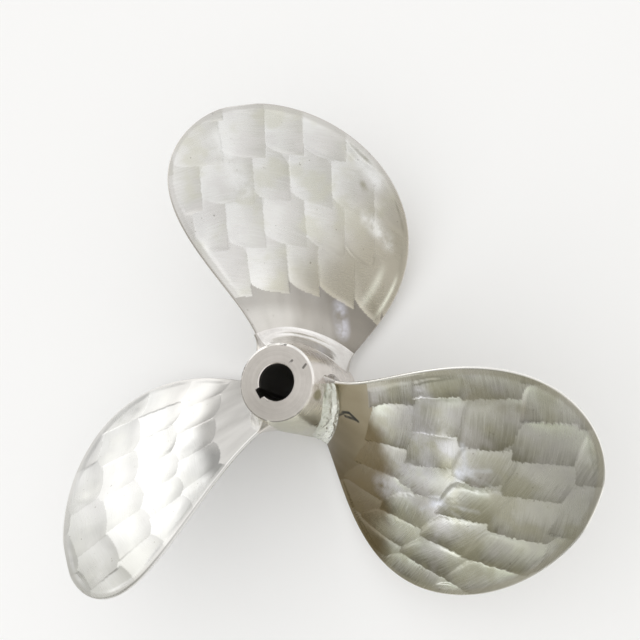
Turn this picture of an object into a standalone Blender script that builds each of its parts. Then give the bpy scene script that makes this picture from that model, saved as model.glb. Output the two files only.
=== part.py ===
"""Three-blade fixed-pitch ship propeller, 660 mm across, with its blades welded to a bored hub.

The shaft axis is Z, and +Z points aft, to the end face that the propeller nut bears on.
It is a right-handed propeller: seen from aft it drives ahead when it turns clockwise.
It stands on the forward end of its hub, and the origin is its centre of gravity.
Run with: blender --background --python part.py
"""
import math

import bmesh
import bpy
import numpy as np
from mathutils import Matrix

# Driving dimensions, in metres
TIP_RADIUS = 0.330
BLADE_COUNT = 3
FIRST_BLADE_ANGLE = math.radians(90.0)
BLADE_LINE_Z = -0.0110
SEAT_GAP = 0.0003

# Hub, measured along the shaft from the height where the blade line starts
HUB_AFT_END = 0.0660
HUB_FORWARD_END = -0.0790
AFT_FACE_RADIUS = 0.0411
AFT_CHAMFER = 0.0022
NOSE_LENGTH = 0.0500
NOSE_FULLNESS = 1.5
BARREL_RADIUS = 0.0514
FORWARD_CHAMFER = 0.0020
NOSE_STEPS = 6
HUB_STEPS = 72

# Bore: a taper that opens forward, with one keyway along it
BORE_AFT_RADIUS = 0.0206
BORE_TAPER_ON_DIAMETER = 1.0 / 12.0
BORE_CHAMFER = 0.0010
KEYWAY_WIDTH = 0.0120
KEYWAY_DEPTH = 0.0042
KEYWAY_ANGLE = math.radians(219.0)

# Blade offsets at fractions of the tip radius, as on a propeller drawing
CHORD_AT = {0.15: 0.127, 0.35: 0.200, 0.55: 0.2705, 0.75: 0.2845, 0.90: 0.2115, 0.97: 0.119}
SKEW_AT = {0.20: 0.0005, 0.40: -0.0040, 0.60: -0.0180, 0.80: -0.0445, 1.00: -0.1005}
PITCH_AT = {0.20: 0.532, 0.60: 0.838, 1.00: 0.751}
RAKE_AT = {0.30: 0.0, 0.65: 0.0225, 1.00: 0.0430}
ROOT_THICKNESS = 0.0190
ROOT_SWELL = 0.0080
SWELL_END_STATION = 0.42
TIP_THICKNESS = 0.0060
EDGE_THICKNESS = 0.0046
ROOT_STATION = 0.125
TIP_STATION = 0.9985
SPAN_STEPS = 24
CHORD_STEPS = 12
EDGE_STEPS = 4

# Root weld: a hollow-faced fillet all round the foot of each blade
WELD_LEG_ON_HUB = 0.0105
WELD_LEG_ON_BLADE = 0.0075
WELD_TOE = 0.0012
WELD_HOLLOW = 1.4
WELD_SINK = 0.0040
WELD_STEPS = 4
SMOOTH_ANGLE = math.radians(32.0)


def clear_scene():
    for item in list(bpy.data.objects):
        bpy.data.objects.remove(item, do_unlink=True)


def new_collection(name):
    collection = bpy.data.collections.new(name)
    bpy.context.scene.collection.children.link(collection)
    return collection


def metal(name, colour, roughness):
    material = bpy.data.materials.new(name)
    material.use_nodes = True
    shader = material.node_tree.nodes["Principled BSDF"]
    shader.inputs["Base Color"].default_value = (*colour, 1.0)
    shader.inputs["Roughness"].default_value = roughness
    shader.inputs["Metallic"].default_value = 1.0
    return material


def curve_through(table):
    """The polynomial that passes through each (station, value) of a table of offsets."""
    stations = list(table)
    return np.poly1d(np.polyfit(stations, [table[s] for s in stations], len(stations) - 1))


# The outline closes at the tip as a round end, so the chord is drawn over the root of 1 - station
fullness = curve_through({s: width / math.sqrt(1.0 - s) for s, width in CHORD_AT.items()})
skew = curve_through(SKEW_AT)
pitch = curve_through(PITCH_AT)
rake = curve_through(RAKE_AT)


def thickness(station):
    along = (station - ROOT_STATION) / (1.0 - ROOT_STATION)
    return ROOT_THICKNESS + (TIP_THICKNESS - ROOT_THICKNESS) * along


def face_swell(station):
    """How far the pressure face stands out at mid-chord: near the hub the section is a lens."""
    along = (station - ROOT_STATION) / (SWELL_END_STATION - ROOT_STATION)
    return ROOT_SWELL * max(0.0, 1.0 - along) ** 2


def blade_section(station, grow):
    """A section as (along the chord, forward of the face) points, grown outwards all round.

    The pressure face is flat, or a shallow arc at the root, the back is a parabola, and both
    edges are round.
    """
    half = 0.5 * (fullness(station) * math.sqrt(1.0 - station) - EDGE_THICKNESS)
    camber = thickness(station) - EDGE_THICKNESS
    edge = 0.5 * EDGE_THICKNESS
    places = [1.0 - 2.0 * i / CHORD_STEPS for i in range(CHORD_STEPS + 1)]
    turns = [math.pi * i / EDGE_STEPS for i in range(1, EDGE_STEPS)]
    swell = face_swell(station)
    points = [(-half * u, -grow - swell * (1.0 - u * u)) for u in places]
    points += [(half + (edge + grow) * math.sin(t), edge - (edge + grow) * math.cos(t)) for t in turns]
    points += [(half * u, EDGE_THICKNESS + camber * (1.0 - u * u) + grow) for u in places]
    points += [(-half - (edge + grow) * math.sin(t), edge + (edge + grow) * math.cos(t)) for t in turns]
    return [(skew(station) + along, forward) for along, forward in points]


def wrap(station, along, forward):
    """Lay a section's point on the cylinder of its station, at its pitch angle and rake."""
    radius = station * TIP_RADIUS
    slope = math.atan2(pitch(station), 2.0 * math.pi * radius)
    turn = (forward * math.sin(slope) - along * math.cos(slope)) / radius
    height = BLADE_LINE_Z + rake(station) - along * math.sin(slope) - forward * math.cos(slope)
    angle = FIRST_BLADE_ANGLE + turn
    return (radius * math.cos(angle), radius * math.sin(angle), height)


def loft(name, rings, collection):
    """A closed solid through rings of equal numbers of points, with a flat cap at each end.

    The twisted sides are made of triangles, so that a grown copy stays clear all over.
    """
    bm = bmesh.new()
    loops = [[bm.verts.new(point) for point in ring] for ring in rings]
    count = len(loops[0])
    for low, high in zip(loops, loops[1:]):
        for i in range(count):
            j = (i + 1) % count
            bm.faces.new((low[i], low[j], high[j]))
            bm.faces.new((low[i], high[j], high[i]))
    bm.faces.new(reversed(loops[0]))
    bm.faces.new(loops[-1])
    bmesh.ops.recalc_face_normals(bm, faces=bm.faces)
    mesh = bpy.data.meshes.new(name)
    bm.to_mesh(mesh)
    bm.free()
    item = bpy.data.objects.new(name, mesh)
    collection.objects.link(item)
    return item


def blade_solid(name, grow, collection):
    first = math.sqrt(1.0 - ROOT_STATION)
    last = math.sqrt(1.0 - TIP_STATION)
    roots = [first + (last - first) * i / SPAN_STEPS for i in range(SPAN_STEPS + 1)]
    stations = [1.0 - root * root for root in roots]
    rings = [[wrap(s, *point) for point in blade_section(s, grow)] for s in stations]
    return loft(name, rings, collection)


def weld_collar(name, collection):
    """The fillet before it is cut: a flared collar round the foot of the blade."""
    rings = []
    heights = [-WELD_SINK] + [WELD_LEG_ON_BLADE * i / WELD_STEPS for i in range(WELD_STEPS + 1)]
    for height in heights:
        station = (BARREL_RADIUS + height) / TIP_RADIUS
        rise = 1.0 - max(height, 0.0) / WELD_LEG_ON_BLADE
        flare = WELD_TOE + (WELD_LEG_ON_HUB - WELD_TOE) * rise ** WELD_HOLLOW
        rings.append([wrap(station, *point) for point in blade_section(station, flare)])
    return loft(name, rings, collection)


def hub_outline(grow):
    """The hub's outer side as (radius, height) points, from the aft face down to the forward face."""
    aft = BLADE_LINE_Z + HUB_AFT_END
    forward = BLADE_LINE_Z + HUB_FORWARD_END
    outline = [(AFT_FACE_RADIUS, aft)]
    start = AFT_FACE_RADIUS + AFT_CHAMFER
    for i in range(NOSE_STEPS + 1):
        along = i / NOSE_STEPS
        radius = BARREL_RADIUS - (BARREL_RADIUS - start) * (1.0 - along) ** NOSE_FULLNESS
        depth = AFT_CHAMFER + (NOSE_LENGTH - AFT_CHAMFER) * along
        outline.append((radius + grow, aft - depth))
    outline.append((BARREL_RADIUS + grow, forward + FORWARD_CHAMFER))
    outline.append((BARREL_RADIUS - FORWARD_CHAMFER, forward))
    return outline


def bore_outline():
    """The bore's wall as (radius, height) points, from the forward face up to the aft face."""
    aft = BLADE_LINE_Z + HUB_AFT_END
    forward = BLADE_LINE_Z + HUB_FORWARD_END
    forward_radius = BORE_AFT_RADIUS + 0.5 * BORE_TAPER_ON_DIAMETER * (aft - forward)
    return [
        (forward_radius + BORE_CHAMFER, forward),
        (forward_radius, forward + BORE_CHAMFER),
        (BORE_AFT_RADIUS, aft - BORE_CHAMFER),
        (BORE_AFT_RADIUS + BORE_CHAMFER, aft),
    ]


def turned(name, outline, closed, collection):
    """Turn an outline about the shaft axis with a Screw modifier."""
    mesh = bpy.data.meshes.new(name)
    edges = [(i, i + 1) for i in range(len(outline) - 1)]
    if closed:
        edges.append((len(outline) - 1, 0))
    mesh.from_pydata([(radius, 0.0, height) for radius, height in outline], edges, [])
    item = bpy.data.objects.new(name, mesh)
    collection.objects.link(item)
    screw = item.modifiers.new("turning", "SCREW")
    screw.steps = HUB_STEPS
    screw.render_steps = HUB_STEPS
    screw.use_merge_vertices = True
    screw.merge_threshold = 0.0001
    return item


def keyway_cutter(collection):
    """A long block whose outer side is parallel to the taper, at the keyway's depth."""
    lean = math.atan(0.5 * BORE_TAPER_ON_DIAMETER)
    length = 1.5 * (HUB_AFT_END - HUB_FORWARD_END)
    middle = BLADE_LINE_Z + 0.5 * (HUB_AFT_END + HUB_FORWARD_END)
    rise = BLADE_LINE_Z + HUB_AFT_END - middle
    floor = BORE_AFT_RADIUS + rise * math.tan(lean) + KEYWAY_DEPTH
    bpy.ops.mesh.primitive_cube_add(size=1.0)
    block = bpy.context.active_object
    block.name = "keyway_cutter"
    block.data.transform(Matrix.Diagonal((floor, KEYWAY_WIDTH, length, 1.0)))
    block.data.transform(Matrix.Translation((0.5 * floor, 0.0, 0.0)))
    block.data.transform(Matrix.Translation((0.0, 0.0, middle)) @ Matrix.Rotation(-lean, 4, "Y"))
    block.rotation_euler.z = KEYWAY_ANGLE
    for home in list(block.users_collection):
        home.objects.unlink(block)
    collection.objects.link(block)
    return block


def hide_cutter(cutter):
    cutter.hide_render = True
    cutter.display_type = "WIRE"


def cut(item, cutter):
    boolean = item.modifiers.new("cut by " + cutter.name, "BOOLEAN")
    boolean.operation = "DIFFERENCE"
    boolean.solver = "EXACT"
    boolean.object = cutter
    hide_cutter(cutter)


def frozen_mesh(item, name):
    """The evaluated mesh of an object, kept under a new name, and the object taken away."""
    graph = bpy.context.evaluated_depsgraph_get()
    mesh = bpy.data.meshes.new_from_object(item.evaluated_get(graph))
    mesh.name = name
    bpy.data.objects.remove(item, do_unlink=True)
    return mesh


def smooth(mesh):
    mesh.shade_smooth()
    mesh.set_sharp_from_angle(angle=SMOOTH_ANGLE)


def place_round(name, mesh, material, parent, collection):
    """One object for each blade, a third of a turn apart, all on the same mesh."""
    mesh.materials.clear()
    mesh.materials.append(material)
    smooth(mesh)
    for i in range(BLADE_COUNT):
        item = bpy.data.objects.new(f"{name}_{i + 1}", mesh)
        item.rotation_euler.z = 2.0 * math.pi * i / BLADE_COUNT
        item.parent = parent
        collection.objects.link(item)


def make_hub(material, parent, parts, cutters):
    hub = turned("hub", hub_outline(0.0) + bore_outline(), True, parts)
    cut(hub, keyway_cutter(cutters))
    mesh = frozen_mesh(hub, "hub")
    mesh.materials.clear()
    mesh.materials.append(material)
    smooth(mesh)
    hub = bpy.data.objects.new("hub", mesh)
    hub.parent = parent
    parts.objects.link(hub)


def make_blades(material, parent, parts, cutters, hub_cutter):
    blade = blade_solid("blade", 0.0, cutters)
    cut(blade, hub_cutter)
    place_round("blade", frozen_mesh(blade, "blade"), material, parent, parts)


def make_root_welds(material, parent, parts, cutters, hub_cutter):
    collar = weld_collar("collar", cutters)
    cut(collar, blade_solid("blade_cutter", SEAT_GAP, cutters))
    cut(collar, hub_cutter)
    place_round("root_weld", frozen_mesh(collar, "root_weld"), material, parent, parts)


def make_propeller():
    clear_scene()
    parts = new_collection("ship_propeller")
    cutters = new_collection("cutters")
    shaft_axis = bpy.data.objects.new("shaft_axis", None)
    parts.objects.link(shaft_axis)
    machined = metal("machined hub", (0.66, 0.63, 0.60), 0.38)
    ground = metal("ground blade", (0.70, 0.70, 0.66), 0.30)
    weld = metal("root weld", (0.72, 0.71, 0.68), 0.34)
    axis_ends = ((0.0, BLADE_LINE_Z + HUB_AFT_END), (0.0, BLADE_LINE_Z + HUB_FORWARD_END))
    outline = [axis_ends[0]] + hub_outline(SEAT_GAP) + [axis_ends[1]]
    hub_cutter = turned("hub_cutter", outline, False, cutters)
    make_hub(machined, shaft_axis, parts, cutters)
    make_blades(ground, shaft_axis, parts, cutters, hub_cutter)
    make_root_welds(weld, shaft_axis, parts, cutters, hub_cutter)


make_propeller()
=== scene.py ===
# %% [markdown]
# # A hand-ground ship propeller
# The propeller has three broad blades of silvery stainless steel, welded to a short bored hub.
# It stands on the forward end of the hub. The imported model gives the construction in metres,
# and this lesson gives each piece the surface that the real one shows: scoops left by the
# grinder on the blades, runs of weld at their feet, and turning marks on the hub.

# %% Load the fixed frame
import math

import bmesh
import bpy
import numpy as np
from mathutils import Matrix, Vector


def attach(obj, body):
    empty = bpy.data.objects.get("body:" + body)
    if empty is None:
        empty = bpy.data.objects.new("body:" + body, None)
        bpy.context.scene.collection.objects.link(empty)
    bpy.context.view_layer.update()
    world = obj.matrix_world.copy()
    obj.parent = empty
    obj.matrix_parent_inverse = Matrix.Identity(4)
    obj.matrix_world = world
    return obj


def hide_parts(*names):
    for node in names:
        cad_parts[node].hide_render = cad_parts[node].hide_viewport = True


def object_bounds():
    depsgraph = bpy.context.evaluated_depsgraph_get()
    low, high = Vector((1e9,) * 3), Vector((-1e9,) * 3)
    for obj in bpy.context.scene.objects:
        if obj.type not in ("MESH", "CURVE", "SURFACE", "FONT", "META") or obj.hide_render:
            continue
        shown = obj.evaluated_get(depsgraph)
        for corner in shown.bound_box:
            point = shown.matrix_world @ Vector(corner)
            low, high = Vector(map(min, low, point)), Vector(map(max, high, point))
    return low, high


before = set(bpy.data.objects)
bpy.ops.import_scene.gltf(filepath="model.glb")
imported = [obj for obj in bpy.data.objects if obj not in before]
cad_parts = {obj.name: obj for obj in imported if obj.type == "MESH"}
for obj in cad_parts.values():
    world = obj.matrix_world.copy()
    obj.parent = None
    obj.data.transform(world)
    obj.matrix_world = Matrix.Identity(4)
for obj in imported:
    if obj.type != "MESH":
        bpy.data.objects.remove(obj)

solid_low, solid_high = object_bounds()
print("nodes:", sorted(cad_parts))
print("solid box, mm:", [round(1000 * x, 1) for x in (*solid_low, *solid_high)])

# %% [markdown]
# ## The photograph's camera
# The picture was taken from about 0.7 m, from aft and above, a little to the right of the shaft.
# It could be aimed with a Track To constraint, but a fixed place and three turns are plainer,
# and nothing in the scene then depends on another object. The small shifts frame the picture
# without turning the camera.

# %% Place the camera
CAMERA_PLACE = Vector((0.2748, -0.0591, 0.6692))
CAMERA_RIGHT = Vector((0.9156, 0.1494, -0.3732))
CAMERA_UP = Vector((-0.1071, 0.9854, 0.1320))
CAMERA_LENS, SENSOR_WIDTH = 35.23, 36.0
CAMERA_SHIFT = (0.0494, 0.1064)


def put_in_scene(name, data):
    thing = bpy.data.objects.new(name, data)
    bpy.context.scene.collection.objects.link(thing)
    return thing


def make_camera():
    data = bpy.data.cameras.new("camera")
    data.lens, data.sensor_width = CAMERA_LENS, SENSOR_WIDTH
    data.shift_x, data.shift_y = CAMERA_SHIFT
    camera = put_in_scene("camera", data)
    right = CAMERA_RIGHT.normalized()
    back = right.cross(CAMERA_UP).normalized()
    turn = Matrix((right, back.cross(right), back)).transposed().to_4x4()
    camera.matrix_world = Matrix.Translation(CAMERA_PLACE) @ turn
    bpy.context.scene.camera = camera
    return camera


camera = make_camera()
print("camera turned, degrees:", [round(math.degrees(a), 1) for a in camera.matrix_world.to_euler()])

# %% [markdown]
# ## Formulas made of nodes
# Light, materials and Geometry Nodes all work out numbers with Math nodes. Wiring them one by one
# hides the formula, so this small class stands for a number in a node tree: adding or multiplying
# two of them places the node and draws the wires.

# %% A number in a node tree


def feed(value, socket):
    if isinstance(value, Field):
        value.tree.links.new(value.socket, socket)
    else:
        socket.default_value = value


def placed(tree, kind, values, output=0, **settings):
    """Place a node, set it, feed its inputs by number or name, and return one of its outputs."""
    made = tree.nodes.new(kind)
    for name, value in settings.items():
        setattr(made, name, value)
    for place, value in values.items():
        feed(value, made.inputs[place])
    return Field(tree, made.outputs[output])


class Field:
    def __init__(self, tree, socket):
        self.tree = tree
        self.socket = socket

    def math(self, operation, *others):
        values = dict(enumerate((self, *others)))
        return placed(self.tree, "ShaderNodeMath", values, operation=operation)

    def __add__(self, other):
        return self.math("ADD", other)

    def __sub__(self, other):
        return self.math("SUBTRACT", other)

    def __mul__(self, other):
        return self.math("MULTIPLY", other)

    def __truediv__(self, other):
        return self.math("DIVIDE", other)

    def __pow__(self, other):
        return self.math("POWER", other)

    def rest(self):
        """What this number leaves of 1."""
        return self * -1.0 + 1.0

    def limited(self, low, high):
        return self.math("MAXIMUM", low).math("MINIMUM", high)

    def rise(self, low, high, bottom=0.0, top=1.0):
        """A soft step from bottom to top as the number goes from low to high."""
        values = dict(enumerate((self, low, high, bottom, top)))
        return placed(self.tree, "ShaderNodeMapRange", values, interpolation_type="SMOOTHSTEP")

    def bell(self, middle, width):
        """1 where the number is at the middle, fading away over the width on both sides."""
        off = (self - middle) / width
        return (off * off * -1.0).math("EXPONENT")

    def between(self, start, end):
        """start where this number is 0, end where it is 1."""
        return placed(self.tree, "ShaderNodeMix", {0: self, 2: start, 3: end}, data_type="FLOAT")


def vector_math(operation, first, *others):
    output = "Value" if operation in ("DOT_PRODUCT", "DISTANCE") else "Vector"
    values = dict(enumerate((first, *others)))
    return placed(first.tree, "ShaderNodeVectorMath", values, output, operation=operation)


def joined(x, y, z=0.0):
    return placed(x.tree, "ShaderNodeCombineXYZ", {0: x, 1: y, 2: z})


def parted(vector):
    made = vector.tree.nodes.new("ShaderNodeSeparateXYZ")
    feed(vector, made.inputs[0])
    return [Field(vector.tree, socket) for socket in made.outputs]


def noise(vector, scale=1.0, detail=3.0):
    values = {"Vector": vector, "Scale": scale, "Detail": detail, "Roughness": 0.55}
    return placed(vector.tree, "ShaderNodeTexNoise", values, "Fac")


def blended(share, colour, other):
    """A colour that goes over to another colour where share is 1."""
    return placed(share.tree, "ShaderNodeMix", {0: share, 6: colour, 7: other}, 2, data_type="RGBA")


def stained(share, colour, stain):
    return blended(share, colour, (*stain, 1.0))


print("node formulas are ready")

# %% [markdown]
# ## Floor and light
# Bare metal has hardly any colour of its own: it shows what stands around it. So the room decides
# the tone of each blade. Its walls are pale, with a window low behind the left blade that burns
# that blade out to white, and a dimmer corner that the right blade mirrors. A ring of area lights
# would show hard-edged in the steel, so the room is a soft gradient on the world instead, and one
# small lamp adds the sparks on the right blade.

# %% Lay the floor and light the room
FLOOR_HALF, FLOOR_COLOUR, FLOOR_ROUGHNESS = 40.0, (0.92, 0.92, 0.92, 1.0), 0.9
PAPER, DIM_TINT = (1.0, 0.995, 0.98), (0.95, 0.94, 0.85)
ROOM, PLAIN_ROOM = 1.02, 1.03
DIM_SIDE, DIM_SPREAD, DIM_BY = Vector((-0.64, -0.70, 0.34)), (0.35, 0.90), 0.49
WINDOW_SIDE, WINDOW_SPREAD, WINDOW = Vector((-0.78, 0.62, 0.05)), (0.84, 0.98), 0.78
OVERHEAD_SPREAD, OVERHEAD_BY = (0.10, 1.0), 0.24
CLUTTER_SCALE, CLUTTER = 2.6, 1.1
LAMP_PLACE, LAMP_RADIUS, LAMP_BRIGHTNESS = (-0.86, -1.13, 0.44), 0.025, 42.0
LAMP_COLOUR = (0.88, 0.91, 1.0)


def new_mesh(name, points, faces):
    mesh = bpy.data.meshes.new(name)
    mesh.from_pydata(points, [], faces)
    mesh.update()
    return mesh


def new_material(name):
    material = bpy.data.materials.new(name)
    material.use_nodes = True
    tree = material.node_tree
    return material, tree, tree.nodes["Principled BSDF"]


def make_floor():
    sides = ((-1, -1), (1, -1), (1, 1), (-1, 1))
    corners = [(x * FLOOR_HALF, y * FLOOR_HALF, solid_low.z) for x, y in sides]
    floor = put_in_scene("floor", new_mesh("floor", corners, [(0, 1, 2, 3)]))
    material, _, shader = new_material("pale floor")
    shader.inputs["Base Color"].default_value = FLOOR_COLOUR
    shader.inputs["Roughness"].default_value = FLOOR_ROUGHNESS
    floor.data.materials.append(material)


def light_the_room():
    """Pale plain light on the floor, and a room with a window and a dim corner in the metal."""
    world = bpy.data.worlds.new("room")
    world.use_nodes = True
    tree = world.node_tree
    sky = tree.nodes["Background"]
    view = placed(tree, "ShaderNodeTexCoord", {}, "Generated")
    dim = vector_math("DOT_PRODUCT", view, DIM_SIDE.normalized()).rise(*DIM_SPREAD)
    window = vector_math("DOT_PRODUCT", view, WINDOW_SIDE.normalized()).rise(*WINDOW_SPREAD)
    overhead = parted(view)[2].rise(*OVERHEAD_SPREAD)
    clutter = (noise(view, CLUTTER_SCALE, 1.0) - 0.5) * CLUTTER
    strength = window * WINDOW + ROOM - dim * DIM_BY - overhead * OVERHEAD_BY + clutter
    mirrored = placed(tree, "ShaderNodeLightPath", {}, "Is Glossy Ray")
    feed(mirrored.between(PLAIN_ROOM, strength), sky.inputs["Strength"])
    feed(stained(dim * mirrored, (*PAPER, 1.0), DIM_TINT), sky.inputs["Color"])
    bpy.context.scene.world = world
    bpy.context.scene.view_settings.view_transform = "Standard"


def hang_the_lamp():
    light = bpy.data.lights.new("small_lamp", "POINT")
    light.shadow_soft_size = LAMP_RADIUS
    light.energy = LAMP_BRIGHTNESS * 4.0 * (math.pi * LAMP_RADIUS) ** 2
    light.color = LAMP_COLOUR
    put_in_scene("small_lamp", light).location = LAMP_PLACE


make_floor()
light_the_room()
hang_the_lamp()
print("floor height, mm:", round(1000 * solid_low.z, 1))

# %% [markdown]
# ## The blade as a formula
# A propeller drawing gives each blade as sections at fractions of the tip radius: how wide it is,
# how far it is skewed and raked, and its pitch. The solid model is lofted through a few of those
# sections. The same curves are used here with many more points, so the fine surface lies exactly
# where the solid one does.

# %% Sections of the blade
TIP_RADIUS = 0.330
BLADE_LINE_Z = -0.0110
FIRST_BLADE_ANGLE = math.radians(90.0)
CHORD_AT = {0.15: 0.127, 0.35: 0.200, 0.55: 0.2705, 0.75: 0.2845, 0.90: 0.2115, 0.97: 0.119}
SKEW_AT = {0.20: 0.0005, 0.40: -0.0040, 0.60: -0.0180, 0.80: -0.0445, 1.00: -0.1005}
PITCH_AT = {0.20: 0.532, 0.60: 0.838, 1.00: 0.751}
RAKE_AT = {0.30: 0.0, 0.65: 0.0225, 1.00: 0.0430}
ROOT_THICKNESS, TIP_THICKNESS, EDGE_THICKNESS = 0.0190, 0.0060, 0.0046
ROOT_SWELL, SWELL_END = 0.0080, 0.42
ROOT_STATION, TIP_STATION = 0.125, 0.9985


def curve_through(table):
    stations = list(table)
    return np.poly1d(np.polyfit(stations, [table[s] for s in stations], len(stations) - 1))


fullness = curve_through({s: width / math.sqrt(1.0 - s) for s, width in CHORD_AT.items()})
skew, pitch, rake = (curve_through(table) for table in (SKEW_AT, PITCH_AT, RAKE_AT))


def half_chord(station):
    return 0.5 * fullness(station) * np.sqrt(1.0 - station)


def wrap(station, along, forward):
    """Lay points of a section on the cylinder of their station, at its pitch angle and rake."""
    radius = station * TIP_RADIUS
    slope = np.arctan2(pitch(station), 2.0 * math.pi * radius)
    turn = (forward * np.sin(slope) - along * np.cos(slope)) / radius
    height = BLADE_LINE_Z + rake(station) - along * np.sin(slope) - forward * np.cos(slope)
    angle = FIRST_BLADE_ANGLE + turn
    return np.stack([radius * np.cos(angle), radius * np.sin(angle), height], axis=-1)


def section(station, grow, columns, at_edges=1.0):
    """A closed section: pressure face, leading edge, back, trailing edge, grown outwards all round.

    at_edges is the share of the growth that is left at the two edges.
    """
    face, edge_columns, back = columns
    half = half_chord(station) - 0.5 * EDGE_THICKNESS
    edge = 0.5 * EDGE_THICKNESS
    along = (station - ROOT_STATION) / (1.0 - ROOT_STATION)
    camber = ROOT_THICKNESS + (TIP_THICKNESS - ROOT_THICKNESS) * along - EDGE_THICKNESS
    fade = np.maximum(0.0, 1.0 - (station - ROOT_STATION) / (SWELL_END - ROOT_STATION))
    swell = ROOT_SWELL * fade ** 2
    u = np.linspace(-1.0, 1.0, face + 1)
    v = np.linspace(1.0, -1.0, back + 1)
    t = np.linspace(0.0, math.pi, edge_columns + 2)[1:-1]
    reach = edge + grow * at_edges
    across = [half * u, half + reach * np.sin(t), half * v, -half - reach * np.sin(t)]
    deep = [
        -grow * (1.0 - (1.0 - at_edges) * u ** 8) - swell * (1.0 - u ** 2),
        edge - reach * np.cos(t),
        EDGE_THICKNESS + camber * (1.0 - v ** 2) + grow * (1.0 - (1.0 - at_edges) * v ** 8),
        edge + reach * np.cos(t),
    ]
    rows = len(np.atleast_1d(station))
    spread = [np.broadcast_to(part, (rows, part.shape[-1])) for part in (*across, *deep)]
    return skew(station) + np.concatenate(spread[:4], axis=1), np.concatenate(spread[4:], axis=1)


print("widest section, mm:", round(2000 * float(half_chord(0.72)), 1))

# %% [markdown]
# ## A fine grid over the blade
# Grinding marks are about a millimetre deep, so the blade needs a grid of about one millimetre.
# A Subdivision Surface on the solid would round its edges away, so the grid is worked out from
# the sections. Each point also keeps where it lies: its radius, its place along the chord, its
# side and how far in it is from the blade's edge. Those numbers steer the grinder later.

# %% Lay out the grid
FACE_COLUMNS, EDGE_COLUMNS, BACK_COLUMNS = 224, 6, 84
GRID_FROM, GRID_STEP = 0.130, 0.00118
OUTLINE_POINTS = 400
SKIN_DRAWN_IN = 0.0002
ROUND_TIP_FROM, TIP_ROUND, TIP_LEFT = 0.93, 0.0023, 0.97


def span_stations():
    """Even steps up the blade, then ever shorter ones where the outline rounds the tip."""
    even = np.arange(GRID_FROM, ROUND_TIP_FROM, GRID_STEP / TIP_RADIUS)
    first, last = math.sqrt(1.0 - ROUND_TIP_FROM), math.sqrt(1.0 - TIP_STATION)
    count = int((first - last) * 2.0 * first * TIP_RADIUS / GRID_STEP)
    return np.concatenate([even, 1.0 - np.linspace(first, last, count) ** 2])


def edge_distance(radius, along):
    """How far each point is from the blade's outline, measured on the unrolled blade."""
    stations = 1.0 - np.linspace(math.sqrt(1.0 - ROOT_STATION), 0.0, OUTLINE_POINTS) ** 2
    middle, half = skew(stations), half_chord(stations)
    line_x = np.concatenate([middle - half, (middle + half)[::-1]])
    line_y = np.concatenate([stations, stations[::-1]]) * TIP_RADIUS
    nearest = np.full(radius.shape, np.inf)
    for x, y in zip(line_x, line_y):
        np.minimum(nearest, (along - x) ** 2 + (radius - y) ** 2, out=nearest)
    return np.sqrt(nearest)


def grid_mesh(name, points, capped):
    """A mesh through rows of points that close on themselves sideways.

    The first and last rows are capped, or else they are joined to each other.
    """
    rows, columns = points.shape[:2]
    low = np.arange(rows * columns).reshape(rows, columns)
    caps = [low[0, ::-1].tolist(), low[-1].tolist()] if capped else []
    high = np.roll(low, -1, axis=0)
    if capped:
        low, high = low[:-1], high[:-1]
    quads = np.stack([low, np.roll(low, -1, 1), np.roll(high, -1, 1), high], axis=-1)
    return new_mesh(name, points.reshape(-1, 3).tolist(), quads.reshape(-1, 4).tolist() + caps)


def keep_on_points(mesh, shape, **numbers):
    for name, values in numbers.items():
        values = np.broadcast_to(values, shape).astype(np.float32).ravel()
        mesh.attributes.new(name, "FLOAT", "POINT").data.foreach_set("value", values)


def keep_chart(mesh, shape, u, v):
    """A UV map in metres, laid on the mesh from two numbers at each point."""
    corner = np.zeros(len(mesh.loops), np.int32)
    mesh.loops.foreach_get("vertex_index", corner)
    chart = np.stack([np.broadcast_to(part, shape).ravel()[corner] for part in (u, v)], axis=-1)
    mesh.uv_layers.new(name="chart").data.foreach_set("uv", chart.astype(np.float32).ravel())


def fine_blade():
    stations = span_stations()[:, None]
    along, forward = section(stations, -SKIN_DRAWN_IN, (FACE_COLUMNS, EDGE_COLUMNS, BACK_COLUMNS))
    near_tip = np.clip((stations - TIP_STATION) * TIP_RADIUS / TIP_ROUND + 1.0, 0.0, TIP_LEFT)
    middle = 0.5 * EDGE_THICKNESS
    forward = middle + (forward - middle) * np.sqrt(1.0 - near_tip ** 2)
    mesh = grid_mesh("fine_blade", wrap(stations - SKIN_DRAWN_IN / TIP_RADIUS, along, forward), True)
    shape = along.shape
    radius = np.broadcast_to(stations * TIP_RADIUS, shape)
    side = np.zeros(shape)
    side[:, : FACE_COLUMNS + 1] = 1.0
    back_from = FACE_COLUMNS + 1 + EDGE_COLUMNS
    side[:, back_from : back_from + BACK_COLUMNS + 1] = -1.0
    inset = edge_distance(radius, along)
    keep_on_points(mesh, shape, radius=radius, along=along, side=side, inset=inset)
    keep_chart(mesh, shape, radius, along)
    return mesh


blade_mesh = fine_blade()
print("blade grid:", len(blade_mesh.vertices), "points,", len(blade_mesh.polygons), "faces")

# %% [markdown]
# ## Geometry Nodes from a script
# A node tool is a modifier with named inputs. These helpers make an empty one, read the numbers
# kept on the points, draw random numbers, and run the tool on a mesh. The result is taken off
# the modifier as plain mesh data, so the piece that goes on has nothing live left on it. It is
# turned to its place in its own mesh, and its object stays at the origin.

# %% Helpers for node tools


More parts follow.
